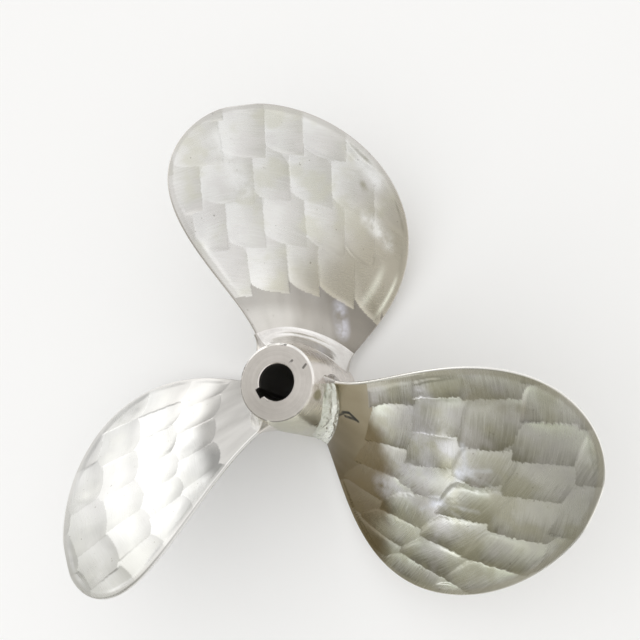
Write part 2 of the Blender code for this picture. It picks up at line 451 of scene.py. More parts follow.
def new_tool(name, numbers):
    """An empty Geometry Nodes tree with named inputs. Returns the tree and its inputs as Fields."""
    tree = bpy.data.node_groups.new(name, "GeometryNodeTree")
    for way in ("INPUT", "OUTPUT"):
        tree.interface.new_socket("Geometry", in_out=way, socket_type="NodeSocketGeometry")
    for label, value in numbers.items():
        kind = "NodeSocketInt" if isinstance(value, int) else "NodeSocketFloat"
        tree.interface.new_socket(label, in_out="INPUT", socket_type=kind).default_value = value
    tree.interface.new_socket("Material", in_out="INPUT", socket_type="NodeSocketMaterial")
    entry = tree.nodes.new("NodeGroupInput")
    return tree, {socket.name: Field(tree, socket) for socket in entry.outputs if socket.name}


def point_value(tree, name):
    return placed(tree, "GeometryNodeInputNamedAttribute", {"Name": name}, data_type="FLOAT")


def chance(identity, seed, low=0.0, high=1.0):
    """A random number that is the same for every point with the same identity."""
    made = identity.tree.nodes.new("FunctionNodeRandomValue")
    made.data_type = "FLOAT"
    sockets = [s for s in made.inputs if s.enabled]
    for socket, value in zip(sockets, (low, high, identity, seed)):
        feed(value, socket)
    return Field(identity.tree, next(s for s in made.outputs if s.enabled))


def choice(index, values):
    """The value whose place in the list is the index."""
    made = index.tree.nodes.new("GeometryNodeIndexSwitch")
    made.data_type = "FLOAT"
    while len(made.index_switch_items) < len(values):
        made.index_switch_items.new()
    for place, value in enumerate((index, *values)):
        feed(value, made.inputs[place])
    return Field(index.tree, made.outputs[0])


def pushed_in(geometry, depth):
    """Move each point against its normal by a depth."""
    normal = placed(geometry.tree, "GeometryNodeInputNormal", {})
    values = {"Geometry": geometry, "Offset": vector_math("MULTIPLY", normal, depth * -1.0)}
    return placed(geometry.tree, "GeometryNodeSetPosition", values)


def kept(geometry, name, value, domain):
    values = {"Geometry": geometry, "Name": name, "Value": value}
    kind = "GeometryNodeStoreNamedAttribute"
    return placed(geometry.tree, kind, values, data_type="FLOAT", domain=domain)


def close_tool(geometry, material):
    tree = geometry.tree
    real = placed(tree, "GeometryNodeRealizeInstances", {"Geometry": geometry})
    done = placed(tree, "GeometryNodeSetMaterial", {"Geometry": real, "Material": material})
    feed(done, tree.nodes.new("NodeGroupOutput").inputs[0])


def applied(piece):
    """What the object's modifiers make of it, as plain mesh data."""
    graph = bpy.context.evaluated_depsgraph_get()
    seen = piece.evaluated_get(graph)
    return bpy.data.meshes.new_from_object(seen, preserve_all_data_layers=True, depsgraph=graph)


def smooth(mesh, crease):
    mesh.shade_smooth()
    mesh.set_sharp_from_angle(angle=math.radians(crease))


def worked(name, number, mesh, tool, settings, crease):
    """The piece of one blade: the mesh after a node tool, turned about the shaft to its place."""
    blank = put_in_scene("blank", mesh)
    modifier = blank.modifiers.new(tool.name, "NODES")
    modifier.node_group = tool
    items = tool.interface.items_tree
    sockets = {item.name: item.identifier for item in items if item.in_out == "INPUT"}
    for label, value in settings.items():
        modifier[sockets[label]] = value
    done = applied(blank)
    bpy.data.objects.remove(blank, do_unlink=True)
    done.name = f"{name}_{number}"
    done.transform(Matrix.Rotation(2.0 * math.pi * (number - 1) / 3.0, 4, "Z"))
    smooth(done, crease)
    return put_in_scene(done.name, done)


print("tool helpers are ready")

# %% [markdown]
# ## The grinder
# The blades were finished by hand with a wheel, in rows from the hub outwards. Each pass plunges
# in at its inner end, has a steep wall on the trailing side, and runs out flat on the other,
# where the next pass cuts it off. So the passes lie like fish scales with their round ends
# towards the hub. They could be a bump texture, but the hollows shape every highlight, so they
# are cut into the mesh. The tree works out the depth of this row's pass and of the one inside
# it at each point, and the deeper one wins, which is how a real cut makes its crisp edges.

# %% Build the grinding tool
ROWS = 5
GRINDING = {
    "First row": 0.1060, "Row pitch": 0.0512, "Slant": 0.05, "Lean": 0.10,
    "Corner": 0.0085, "Far corner": 0.0005, "Skid": 0.0025,
    "Hollow": 0.0011, "Tilt": 0.0005, "Wall": 4.5, "Lip": 0.00055, "Plunge": 0.0070,
    "Unevenness": 0.016, "Fringe": 0.0022, "Wander": 0.0026,
    "Border": 0.0055, "Back depth": 0.6, "Worn down": 0.45, "Seed": 11,
}
PASS_START, PASS_WIDTH = -0.12, 0.05
CORNER_ROUND, FAR_CORNER_ROUND = 5.0, 4.0
BACK_SHIFT = 0.023
ROW_STRIDE, SIDE_STRIDE = 37.0, 411.0
FAR_FALL, FAR_LOSS, RUN_OUT_LOSS = 1.6, 0.75, 0.5
DEPTH_RANGE = (0.55, 1.35)
PASS_END = (1.6, 1.15)
LEAST_CUT = 0.00001
SWAY_SCALE, FRINGE_SCALE, RAGGED_SCALE, WORN_SCALE, NICK_SCALE = 14.0, 240.0, 55.0, 13.0, 130.0
RAGGED_BY, BORDER_FADE = 0.004, 0.006
WORN_STEP = (0.36, 0.56)
NICK_STEP, NICK_REACH, NICK_FROM, NICK_DEPTH = (0.70, 0.76), (0.006, 0.002), (0.11, 0.13), 0.0006


def per_row(what, values):
    return {f"Pass {what} {i + 1}": value for i, value in enumerate(values)}


def grinding_tool():
    starts, widths = per_row("start", [PASS_START] * ROWS), per_row("width", [PASS_WIDTH] * ROWS)
    tree, given = new_tool("ground scoops", {**GRINDING, **starts, **widths})
    starts, widths = ([given[label] for label in labels] for labels in (starts, widths))
    names = ("radius", "along", "side", "inset")
    radius, along, side, inset = (point_value(tree, name) for name in names)
    seed, row_pitch = given["Seed"], given["Row pitch"]
    height = radius - along * given["Slant"] - given["First row"]
    row = (height / row_pitch).math("FLOOR").limited(-1.0, ROWS - 1.0)

    def spots(scale, third, detail=1.0):
        return noise(joined(radius * scale, along * scale, third), detail=detail)

    def pass_in(row_here):
        """Depth, identity, place across and travel of the pass that one row makes at a point."""
        row_here = row_here.limited(0.0, ROWS - 1.0)
        spot = joined(along * SWAY_SCALE, row_here * 7.3 + side * 3.1, seed * 1.7)
        sway = (noise(spot, detail=1.0) - 0.5) * given["Unevenness"] + fringe
        lean = (height - row_here * row_pitch - row_pitch * 0.5) * given["Lean"]
        place = along + sway + lean + side.rest() * BACK_SHIFT - choice(row_here, starts)
        place = place / choice(row_here, widths)
        number = place.math("FLOOR")
        across = place - number
        left = across.rest()
        identity = number + row_here * ROW_STRIDE + side * SIDE_STRIDE
        hollow = (left ** given["Wall"]).rest() * (across ** FAR_FALL * -FAR_LOSS + 1.0)
        deeper = chance(identity, seed + 1.0, *DEPTH_RANGE)
        tilt = (across - 0.5) * chance(identity, seed + 4.0, -1.0, 1.0) * given["Tilt"]
        start = row_here * row_pitch + left ** CORNER_ROUND * given["Corner"]
        start = start + left * given["Skid"] + across ** FAR_CORNER_ROUND * given["Far corner"]
        start = start + chance(identity, seed) * given["Wander"]
        into = height - start
        plunge = ((into / given["Plunge"]).limited(0.0, 1.0).rest() ** 2.0).rest()
        travel = into / row_pitch
        runs_out = travel.limited(0.0, 1.2) * -RUN_OUT_LOSS + 1.0
        depth = hollow * deeper * runs_out * given["Hollow"] + travel.rest() * given["Lip"]
        return (depth + tilt) * plunge * travel.rise(*PASS_END), identity, across, travel

    fringe = (spots(FRINGE_SCALE, seed) - 0.5) * given["Fringe"]
    depth, identity, across, travel = pass_in(row)
    inner_depth, inner_identity, inner_across, inner_travel = pass_in(row - 1.0)
    depth = depth * row.math("GREATER_THAN", -0.5)
    inner_depth = inner_depth * row.math("GREATER_THAN", 0.5)
    cut = depth.math("MAXIMUM", inner_depth)
    scarred = cut.math("GREATER_THAN", LEAST_CUT)
    outer = (depth - inner_depth).math("GREATER_THAN", 0.0)
    chosen = outer.between(inner_identity, identity)
    ragged = (spots(RAGGED_SCALE, side, 2.0) - 0.5) * RAGGED_BY
    inside = (inset + ragged).rise(given["Border"], given["Border"] + BORDER_FADE)
    fresh = spots(WORN_SCALE, seed * 3.1).rise(*WORN_STEP)
    strength = (side * 0.5 + 0.5).between(given["Back depth"], 1.0) * side.math("ABSOLUTE")
    strength = strength * fresh.between(given["Worn down"], 1.0)
    nicks = spots(NICK_SCALE, seed * 2.3).rise(*NICK_STEP)
    nicks = nicks * inset.rise(*NICK_REACH) * radius.rise(*NICK_FROM) * NICK_DEPTH
    shape = pushed_in(given["Geometry"], cut * inside * strength + nicks)
    marks = (
        ("pass_tone", scarred.between(0.5, chance(chosen, seed + 2.0)), "FACE"),
        ("pass_turn", scarred.between(0.5, chance(chosen, seed + 3.0)), "FACE"),
        ("pass_across", scarred.between(0.5, outer.between(inner_across, across)), "POINT"),
        ("pass_travel", scarred.between(0.5, outer.between(inner_travel, travel)), "POINT"),
        ("pass_fresh", fresh * inside, "POINT"),
        ("pass_cut", scarred, "POINT"),
    )
    for name, value, domain in marks:
        shape = kept(shape, name, value, domain)
    close_tool(shape, given["Material"])
    return tree


grinder = grinding_tool()
print("grinding tool:", len(grinder.nodes), "nodes")

# %% [markdown]
# ## Metal
# All the steel is one alloy, so the finishes share one recipe: a pale metal whose colour and
# roughness vary a little from place to place, with fine scratches in one direction. The scratches
# also smear each highlight across themselves, which the shader's anisotropy does. The chart that
# was laid on each piece tells both which way the wheel went.

# %% Shader helpers


def new_metal(name, anisotropy):
    """A bare metal. Returns the material, its tree, its shader and its chart as a vector."""
    material, tree, shader = new_material(name)
    shader.inputs["Metallic"].default_value = 1.0
    shader.inputs["Anisotropic"].default_value = anisotropy
    tangent = placed(tree, "ShaderNodeTangent", {}, direction_type="UV_MAP", uv_map="chart")
    feed(tangent, shader.inputs["Tangent"])
    return material, tree, shader, placed(tree, "ShaderNodeUVMap", {}, uv_map="chart")


def finish_metal(shader, base, rough, height, depth):
    """Wire up colour and roughness, and raise the height as a bump of a small depth."""
    feed(base, shader.inputs["Base Color"])
    feed(rough, shader.inputs["Roughness"])
    values = {"Strength": 1.0, "Distance": depth, "Height": height}
    feed(placed(height.tree, "ShaderNodeBump", values), shader.inputs["Normal"])


def surface_value(tree, name):
    return placed(tree, "ShaderNodeAttribute", {}, "Fac", attribute_name=name)


def streaked(vector, stretch, turn=0.0):
    """The chart turned by an angle and stretched, which turns spots of noise into streaks."""
    values = {"Vector": vector, "Angle": turn}
    turned = placed(vector.tree, "ShaderNodeVectorRotate", values, rotation_type="Z_AXIS")
    return vector_math("MULTIPLY", turned, stretch)


def object_place(tree):
    return placed(tree, "ShaderNodeTexCoord", {}, "Object")


def toned(share, low, dark, high, light):
    """A colour that goes from dark to light as share goes from low to high."""
    made = share.tree.nodes.new("ShaderNodeValToRGB")
    feed(share, made.inputs[0])
    for element, place, colour in zip(made.color_ramp.elements, (low, high), (dark, light)):
        element.position = place
        element.color = (*colour, 1.0)
    return Field(share.tree, made.outputs["Color"])


def stroke(place, start, end, width, core=0.4):
    """1 on a soft-edged stroke from start to end, 0 away from it. core is its full share."""
    start, end = Vector((*start, 0.0)), Vector((*end, 0.0))
    span = end - start
    reach = vector_math("SUBTRACT", place, start)
    reach = vector_math("DOT_PRODUCT", reach, span / span.length_squared).limited(0.0, 1.0)
    nearest = vector_math("ADD", vector_math("MULTIPLY", reach, span), start)
    return vector_math("DISTANCE", place, nearest).rise(width, core * width)


def of_blade(table, number):
    """One blade's values, from a table with one for the upper, the left and the right blade."""
    return {label: values[number - 1] for label, values in table.items()}


print("shader helpers are ready")

# %% [markdown]
# ## Ground steel
# Under the wheel the steel takes scratches a fraction of a millimetre apart, along the chord.
# Each pass has its own grit, angle and polish, so neighbouring scoops differ a little in tone.
# Light and shade are painted into the colour too. On the steep wall of each pass the upper and
# right blades get a painted highlight and the left one a painted shade, and at the inner end of
# each pass the upper blade gets a painted highlight and the others a painted shade. A painted
# shade runs across each pass and towards the leading edge, and a painted shade, khaki on the upper
# and right blades, lies over the inner part of each blade. Near the hub the blade was only
# polished, and is warmer and smoother, with painted streaks of reflection across it and a darker
# collar under the scoops of the upper one. The lit bands and gleams are painted highlights where
# the workshop's own lights lay on the metal, a few gleams are painted patches of shade, and the
# strokes are plain workshop marks.

# %% Blade finish
BLADE_ANISOTROPY = 0.72
PASS_TURN = 0.6
HAIR_STRETCH, BRUSH_STRETCH = (2600.0, 70.0, 1.0), (700.0, 36.0, 1.0)
SHEEN_STRETCH, SHEEN_TURN = (8.0, 24.0, 1.0), 0.25
CLOUD_SCALE, DRIFT_SCALE, BLOTCH_SCALE, SPOT_SCALE = 16.0, 26.0, 60.0, 210.0
STEPS = {
    "warm": (0.48, 0.66), "cool": (0.50, 0.34), "spot": (0.755, 0.790), "tip": (0.245, 0.295),
    "start": (0.170, 0.130, 0.3, 1.0), "collar": (0.084, 0.104), "rim": (0.0082, 0.0052),
    "edge": (0.0022, 0.0010), "lit from": (0.116, 0.140), "lit to": (0.188, 0.160),
    "lit side": (0.030, 0.050), "gleam": (0.25, 0.65), "stroke": (0.30, 0.54),
}
SPOT_TINT = (0.22, 0.20, 0.16)
STROKE_WIDTH, STROKE_INK = 0.0028, (0.035, 0.035, 0.03)
SCRATCH_DEPTH = 0.000011


def ground_steel_and_painted_light(number):
    look = of_blade(LOOKS, number)
    material, tree, shader, chart = new_metal(f"ground steel and painted light {number}", BLADE_ANISOTROPY)
    radius, along, _ = parted(chart)
    place = object_place(tree)
    inset = surface_value(tree, "inset")
    face = surface_value(tree, "side").rise(0.4, 0.6)
    names = ("tone", "turn", "across", "travel", "fresh", "cut")
    tone, turn, across, travel, fresh, cut = (surface_value(tree, f"pass_{n}") for n in names)
    tone = (tone - 0.5) * fresh + 0.5
    turn = (turn - 0.5) * PASS_TURN
    hair = noise(streaked(chart, HAIR_STRETCH, turn), detail=2.0)
    brush = noise(streaked(chart, BRUSH_STRETCH, turn), detail=4.0)
    cloud, blotch = noise(place, CLOUD_SCALE), noise(place, BLOTCH_SCALE)
    # fall paints a shade across each pass: darker towards its far side on the upper and right blades,
    # lighter there on the left one.
    share = hair * 0.05 + brush * 0.32 + cloud * 0.32 + tone * 0.16 + (across - 0.5) * look["fall"] + 0.06
    # side light paints a shade towards the leading edge of the upper and right blades.
    share = share + radius.rise(*STEPS["tip"]) * look["tip"] - along * look["side light"]
    base = toned(share, 0.30, look["dark"], 0.70, look["light"])
    # Painted light on the steep wall of each pass: a painted highlight on the upper and right blades, a
    # painted shade on the left one.
    bite = across.rest() ** (tone * look["bite width"] + 1.0) * (hair * 0.2 + brush * 1.2 + 0.3)
    bite = bite * (tone * 0.8 + 0.5)
    base = stained(bite * fresh * look["bite share"], base, look["bite"])
    drift = noise(place, DRIFT_SCALE, 2.0)
    base = stained(drift.rise(*STEPS["warm"]) * 0.45, base, look["warm"])
    base = stained(drift.rise(*STEPS["cool"]) * 0.35, base, look["cool"])
    # A painted highlight along the inner end of each pass on the upper blade, and a painted shade there on
    # the left and right blades.
    painted_start_light_and_shade = travel.rise(look["start length"], look["start length"] * 0.25)
    painted_start_light_and_shade = painted_start_light_and_shade * radius.rise(*STEPS["start"])
    base = stained(painted_start_light_and_shade * look["start share"], base, look["start"])
    rim = inset + (brush - 0.5) * 0.003
    base = stained(rim.rise(*STEPS["rim"]) * 0.5, base, look["rim"])
    # A painted shade, khaki on the upper and right blades, over the inner part of each blade towards its
    # leading edge.
    slope, far, near = look["lee reach"]
    lee = (radius - along * slope + (cloud - 0.5) * 0.05).rise(far, near)
    base = stained(lee * look["lee share"], base, look["lee"])
    for middle, width, strength in LIT_BANDS.get(number, ()):
        band = inset.bell(middle, width) * radius.rise(*STEPS["lit from"])
        band = band * radius.rise(*STEPS["lit to"]) * along.rise(*STEPS["lit side"])
        base = stained(band * (brush + 0.5) * face * strength, base, LIT_TINT)
    root = (radius - along * 0.05).rise(look["foot"] + 0.024, look["foot"] + 0.016) * cut.rest()
    # Painted reflections: sheen stretches noise into streaks across the polished root, and root fall
    # paints a shade towards the leading edge.
    sheen = noise(streaked(chart, SHEEN_STRETCH, SHEEN_TURN), detail=2.0)
    polished_root_and_painted_sheen = (sheen - 0.5) * look["sheen"] + 0.5 - along * look["root fall"]
    polished_root_and_painted_sheen = toned(polished_root_and_painted_sheen, 0.0, look["root"], 1.0, look["root light"])
    polished_root_and_painted_sheen = stained(radius.rise(*STEPS["collar"]) * look["collar"], polished_root_and_painted_sheen, look["root"])
    base = blended(root * (blotch * 0.2 + 0.8), base, polished_root_and_painted_sheen)
    base = stained(inset.rise(*STEPS["edge"]), base, look["edge"])
    spots = noise(place, SPOT_SCALE, 1.0).rise(*STEPS["spot"])
    base = stained(spots * 0.45, base, SPOT_TINT)
    flat = vector_math("MULTIPLY", chart, (1.0, 1.0, 0.0))
    # Painted highlights, and a few painted patches of shade, laid as soft strokes on the chart.
    for start, end, width, strength, tint in PAINTED_GLEAMS_AND_SHADES.get(number, ()):
        mark = stroke(flat, start, end, width, 0.0) * blotch.rise(*STEPS["gleam"])
        base = stained(mark * face * strength, base, tint)
    for start, end in STROKES.get(number, ()):
        mark = stroke(flat, start, end, STROKE_WIDTH) * blotch.rise(*STEPS["stroke"])
        base = stained(mark * face * 0.95, base, STROKE_INK)
    rough = brush * 0.12 + hair * 0.06 + tone * 0.05 + (cloud - 0.5) * 0.12 + root * -0.08
    finish_metal(shader, base, rough + look["polish"], hair * 0.3 + brush, SCRATCH_DEPTH)
    return material


# The blades' colours differ to paint each one's light: the right blade is painted dark and khaki as
# painted shade, and the upper one is palest.
LOOKS = {
    "dark": ((0.70, 0.69, 0.65), (0.66, 0.66, 0.64), (0.27, 0.255, 0.20)),
    "light": ((0.95, 0.945, 0.93), (0.89, 0.89, 0.88), (0.79, 0.78, 0.73)),
    "fall": (-0.42, 0.25, -0.42), "tip": (-0.04, -0.04, 0.14), "side light": (1.0, 0.0, 0.6),
    "bite": ((0.97, 0.98, 0.97), (0.62, 0.61, 0.58), (0.93, 0.965, 0.85)),
    "bite width": (3.0, 4.0, 2.2), "bite share": (0.70, 0.30, 1.0),
    "warm": ((0.74, 0.73, 0.60), (0.84, 0.84, 0.80), (0.50, 0.48, 0.34)),
    "cool": ((0.82, 0.79, 0.79), (0.84, 0.83, 0.83), (0.66, 0.63, 0.66)),
    "start": ((0.94, 0.93, 0.90), (0.27, 0.266, 0.257), (0.50, 0.47, 0.40)),
    "start length": (0.08, 0.62, 0.15), "start share": (0.4, 0.90, 0.3),
    "rim": ((0.66, 0.64, 0.61), (0.66, 0.65, 0.63), (0.55, 0.52, 0.42)),
    "edge": ((0.70, 0.67, 0.64), (0.76, 0.75, 0.73), (0.95, 0.94, 0.91)),
    "lee": ((0.45, 0.415, 0.335), (0.70, 0.68, 0.65), (0.17, 0.128, 0.062)),
    "lee share": (0.90, 0.4, 0.92),
    "lee reach": ((1.2, 0.22, 0.09), (0.63, 0.156, 0.124), (0.63, 0.156, 0.124)),
    "root": ((0.25, 0.23, 0.205), (0.42, 0.405, 0.385), (0.12, 0.086, 0.034)),
    "root light": ((0.68, 0.66, 0.63), (0.88, 0.865, 0.84), (0.36, 0.316, 0.222)),
    "root fall": (8.5, 1.5, 5.0), "sheen": (1.4, 1.6, 0.9), "collar": (0.45, 0.0, 0.0),
    "foot": (0.108, 0.111, 0.096), "polish": (0.16, 0.18, 0.14),
}
LIT_TINT = (0.97, 0.97, 0.86)
LIT_BANDS = {1: ((0.0095, 0.0022, 0.85), (0.0300, 0.0045, 0.55))}
# Painted highlights; the right blade's long thin strokes are the painted rays of its sparks, and the
# darker colours are painted shade.
PAINTED_GLEAMS_AND_SHADES = {
    1: (
        ((0.108, 0.040), (0.089, 0.047), 0.0160, 0.75, (0.78, 0.79, 0.90)),
        ((0.294, -0.123), (0.228, -0.090), 0.0220, 0.95, (0.99, 0.99, 0.98)),
        ((0.278, 0.046), (0.262, 0.066), 0.0150, 0.95, (0.98, 0.98, 0.97)),
        ((0.218, 0.062), (0.206, 0.092), 0.0150, 0.80, (0.98, 0.98, 0.96)),
        ((0.253, 0.051), (0.249, 0.054), 0.0065, 0.95, (0.46, 0.44, 0.36)),
        ((0.244, 0.080), (0.232, 0.077), 0.0100, 0.85, (0.52, 0.50, 0.41)),
    ),
    3: (
        ((0.186, -0.068), (0.166, -0.056), 0.0260, 0.65, (0.86, 0.85, 0.90)),
        ((0.176, -0.026), (0.160, -0.010), 0.0260, 0.70, (0.88, 0.87, 0.93)),
        ((0.172, 0.014), (0.150, 0.030), 0.0240, 0.60, (0.86, 0.85, 0.90)),
        ((0.160, -0.106), (0.150, -0.080), 0.0160, 0.60, (0.84, 0.83, 0.87)),
        ((0.206, -0.136), (0.250, -0.148), 0.0180, 0.60, (0.40, 0.37, 0.27)),
        ((0.204, 0.050), (0.184, 0.082), 0.0240, 0.40, (0.74, 0.73, 0.60)),
        ((0.2150, -0.0570), (0.2110, -0.0500), 0.0120, 0.70, (0.85, 0.87, 0.97)),
        ((0.2160, -0.0560), (0.2050, -0.0815), 0.0055, 0.50, (0.86, 0.88, 0.96)),
        ((0.2160, -0.0560), (0.2370, -0.0730), 0.0040, 0.45, (0.86, 0.88, 0.94)),
        ((0.2160, -0.0550), (0.2520, -0.0590), 0.0050, 0.35, (0.86, 0.88, 0.92)),
        ((0.2150, -0.0540), (0.2073, -0.0211), 0.0055, 0.35, (0.86, 0.87, 0.93)),
        ((0.2060, -0.0070), (0.2030, -0.0005), 0.0110, 0.65, (0.84, 0.86, 0.96)),
        ((0.2050, -0.0035), (0.1960, 0.0180), 0.0045, 0.45, (0.85, 0.86, 0.93)),
        ((0.2050, -0.0035), (0.2430, -0.0258), 0.0040, 0.40, (0.86, 0.87, 0.92)),
        ((0.2050, -0.0035), (0.2458, -0.0080), 0.0040, 0.30, (0.86, 0.87, 0.92)),
    ),
}
STROKES = {
    3: (
        ((0.088, -0.0275), (0.076, -0.0320)),
        ((0.084, -0.0275), (0.0715, -0.0240)),
        ((0.0753, -0.0322), (0.0675, -0.0280)),
        ((0.0675, -0.0262), (0.0560, -0.0130)),
    ),
}
BLADE_STEEL = {number: ground_steel_and_painted_light(number) for number in (1, 2, 3)}
print("blade finishes:", [m.name for m in BLADE_STEEL.values()])

# %% [markdown]
# ## Three blades
# The blades are alike in shape but were ground one at a time, so each has its own rows. The
# starts and widths of the passes were read off the photograph on the unrolled blade.

# %% Grind the blades
BLADE_CREASE = 50.0
PASSES = {
    "First row": (0.1105, 0.1115, 0.0990), "Slant": (0.05, 0.09, 0.05), "Lean": (0.14, 0.20, 0.55),
    "Corner": (0.0085, 0.0085, 0.0050), "Far corner": (0.0005, 0.0060, 0.0005),
    "Skid": (0.0060, 0.0, 0.0025), "Wall": (4.0, 3.0, 7.0), "Lip": (0.00055, 0.0006, 0.0003),
    "Plunge": (0.0070, 0.014, 0.006), "Unevenness": (0.034, 0.026, 0.036),
    "Fringe": (0.0022, 0.0022, 0.0050), "Wander": (0.0040, 0.0026, 0.0050),
    "Worn down": (0.2, 0.15, 0.45),
}
PASS_STARTS = (
    (-0.126, -0.149, -0.135, -0.119, -0.12),
    (-0.134, -0.103, -0.135, -0.150, -0.12),
    (-0.117, -0.105, -0.134, -0.146, -0.12),
)
PASS_WIDTHS = (
    (0.0445, 0.0440, 0.0500, 0.0500, 0.05),
    (0.0500, 0.0440, 0.0500, 0.0550, 0.05),
    (0.0460, 0.0390, 0.0430, 0.0400, 0.05),
)


def make_blade(number):
    settings = of_blade(PASSES, number)
    settings["Seed"] = GRINDING["Seed"] + number
    settings["Material"] = BLADE_STEEL[number]
    settings.update(per_row("start", PASS_STARTS[number - 1]))
    settings.update(per_row("width", PASS_WIDTHS[number - 1]))
    return worked("ground_blade", number, blade_mesh, grinder, settings, BLADE_CREASE)


blades = {number: make_blade(number) for number in (1, 2, 3)}
print("ground blades:", [len(b.data.polygons) for b in blades.values()])

# %% [markdown]
# ## Hub
# The hub is a turned piece: one outline spun about the shaft, bored through on a taper and
# slotted for the key. The Screw modifier would do, but spinning the outline in numbers lets the
# end's chamfer run a little out of true, as the photograph shows. The keyway is a Boolean cut.

# %% Turn the hub
HUB_AFT_END, HUB_FORWARD_END = 0.0660, -0.0790
AFT_FACE_RADIUS, AFT_CHAMFER = 0.0411, 0.0022
NOSE_LENGTH, NOSE_FULLNESS = 0.0500, 1.5
BARREL_RADIUS, FORWARD_CHAMFER = 0.0514, 0.0020
BORE_AFT_RADIUS, BORE_TAPER, BORE_CHAMFER = 0.0206, 1.0 / 12.0, 0.0010
KEYWAY_WIDTH, KEYWAY_DEPTH, KEYWAY_CORNER = 0.0120, 0.0042, 0.0007
KEYWAY_ANGLE = math.radians(219.0)
CHAMFER_DRIFT, CHAMFER_SIDE = 0.0009, math.radians(120.0)
HUB_STEPS, HUB_CHART_RADIUS, HUB_CREASE = 288, 0.05, 25.0
AFT_Z = BLADE_LINE_Z + HUB_AFT_END
FORWARD_Z = BLADE_LINE_Z + HUB_FORWARD_END


def hub_radius(height):
    """The hub's outer radius at a height along the shaft."""
    depth = AFT_Z - np.asarray(height)
    along = np.clip((depth - AFT_CHAMFER) / (NOSE_LENGTH - AFT_CHAMFER), 0.0, 1.0)
    start = AFT_FACE_RADIUS + AFT_CHAMFER
    nose = BARREL_RADIUS - (BARREL_RADIUS - start) * (1.0 - along) ** NOSE_FULLNESS
    return nose + np.minimum(depth - AFT_CHAMFER, 0.0)


def run(corners):
    """Points on straight lines through corners. Each corner says how many steps it is to the next."""
    parts = []
    for (start, steps), (end, _) in zip(corners, corners[1:]):
        share = np.arange(steps)[:, None] / steps
        parts.append(np.asarray(start) + (np.asarray(end) - np.asarray(start)) * share)
    return np.concatenate(parts)


def hub_profile():
    """The outline of half the hub, from the bore's mouth over the nose and back up the bore."""
    bore_forward = BORE_AFT_RADIUS + 0.5 * BORE_TAPER * (AFT_Z - FORWARD_Z)
    nose_heights = AFT_Z - AFT_CHAMFER - np.linspace(0.0, NOSE_LENGTH - AFT_CHAMFER, 30)
    nose = np.stack([hub_radius(nose_heights), nose_heights], axis=-1)
    mouth = (BORE_AFT_RADIUS + BORE_CHAMFER, AFT_Z)
    face = run([(mouth, 12), ((AFT_FACE_RADIUS, AFT_Z), 1), (nose[0], 0)])
    barrel_and_bore = run([
        (nose[-1], 24),
        ((BARREL_RADIUS, FORWARD_Z + FORWARD_CHAMFER), 2),
        ((BARREL_RADIUS - FORWARD_CHAMFER, FORWARD_Z), 8),
        ((bore_forward + BORE_CHAMFER, FORWARD_Z), 1),
        ((bore_forward, FORWARD_Z + BORE_CHAMFER), 40),
        ((BORE_AFT_RADIUS, AFT_Z - BORE_CHAMFER), 1),
        (mouth, 0),
    ])
    return np.concatenate([face, nose, barrel_and_bore[1:]])


def keyway_block():
    """A long block whose outer side is parallel to the taper, at the keyway's depth."""
    lean = math.atan(0.5 * BORE_TAPER)
    middle = 0.5 * (AFT_Z + FORWARD_Z)
    floor = BORE_AFT_RADIUS + (AFT_Z - middle) * math.tan(lean) + KEYWAY_DEPTH
    bm = bmesh.new()
    bmesh.ops.create_cube(bm, size=1.0)
    bm.transform(Matrix.Diagonal((floor, KEYWAY_WIDTH, 1.5 * (AFT_Z - FORWARD_Z), 1.0)))
    upright = [e for e in bm.edges if abs(e.verts[0].co.z - e.verts[1].co.z) > 0.1 and e.verts[0].co.x > 0]
    bmesh.ops.bevel(bm, geom=upright, offset=KEYWAY_CORNER, segments=3, affect="EDGES", profile=0.5)
    bm.transform(Matrix.Translation((0.5 * floor, 0.0, 0.0)))
    bm.transform(Matrix.Translation((0.0, 0.0, middle)) @ Matrix.Rotation(-lean, 4, "Y"))
    bm.transform(Matrix.Rotation(KEYWAY_ANGLE, 4, "Z"))
    mesh = bpy.data.meshes.new("keyway_block")
    bm.to_mesh(mesh)
    bm.free()
    return put_in_scene("keyway_block", mesh)


def spun(profile):
    """The outline at each step round the shaft, with the aft chamfer wider on one side."""
    angles = 2.0 * math.pi * np.arange(HUB_STEPS)[:, None] / HUB_STEPS
    radius, height = profile[:, 0][None, :], profile[:, 1][None, :]
    inner = BORE_AFT_RADIUS + BORE_CHAMFER
    on_face = (height > AFT_Z - 1e-7) & (radius < AFT_FACE_RADIUS + 1e-7) & (radius > inner - 1e-7)
    drift = CHAMFER_DRIFT * np.cos(angles - CHAMFER_SIDE) / (AFT_FACE_RADIUS - inner)
    radius = np.where(on_face, inner + (radius - inner) * (1.0 - drift), radius)
    height = np.broadcast_to(height, radius.shape)
    return np.stack([radius * np.cos(angles), radius * np.sin(angles), height], axis=-1), angles


def turned_hub():
    profile = hub_profile()
    points, angles = spun(profile)
    mesh = grid_mesh("turned_hub", points, False)
    lengths = np.linalg.norm(np.diff(profile, axis=0), axis=1)
    travel = np.concatenate([[0.0], np.cumsum(lengths)])
    keep_chart(mesh, points.shape[:2], travel, angles * HUB_CHART_RADIUS)
    hub = put_in_scene("turned_hub", mesh)
    block = keyway_block()
    cut = hub.modifiers.new("keyway", "BOOLEAN")
    cut.operation, cut.solver, cut.object = "DIFFERENCE", "EXACT", block
    hub.data = applied(hub)
    hub.modifiers.clear()
    bpy.data.objects.remove(block, do_unlink=True)
    smooth(hub.data, HUB_CREASE)
    return hub


hub = turned_hub()
print("hub:", len(hub.data.polygons), "faces")

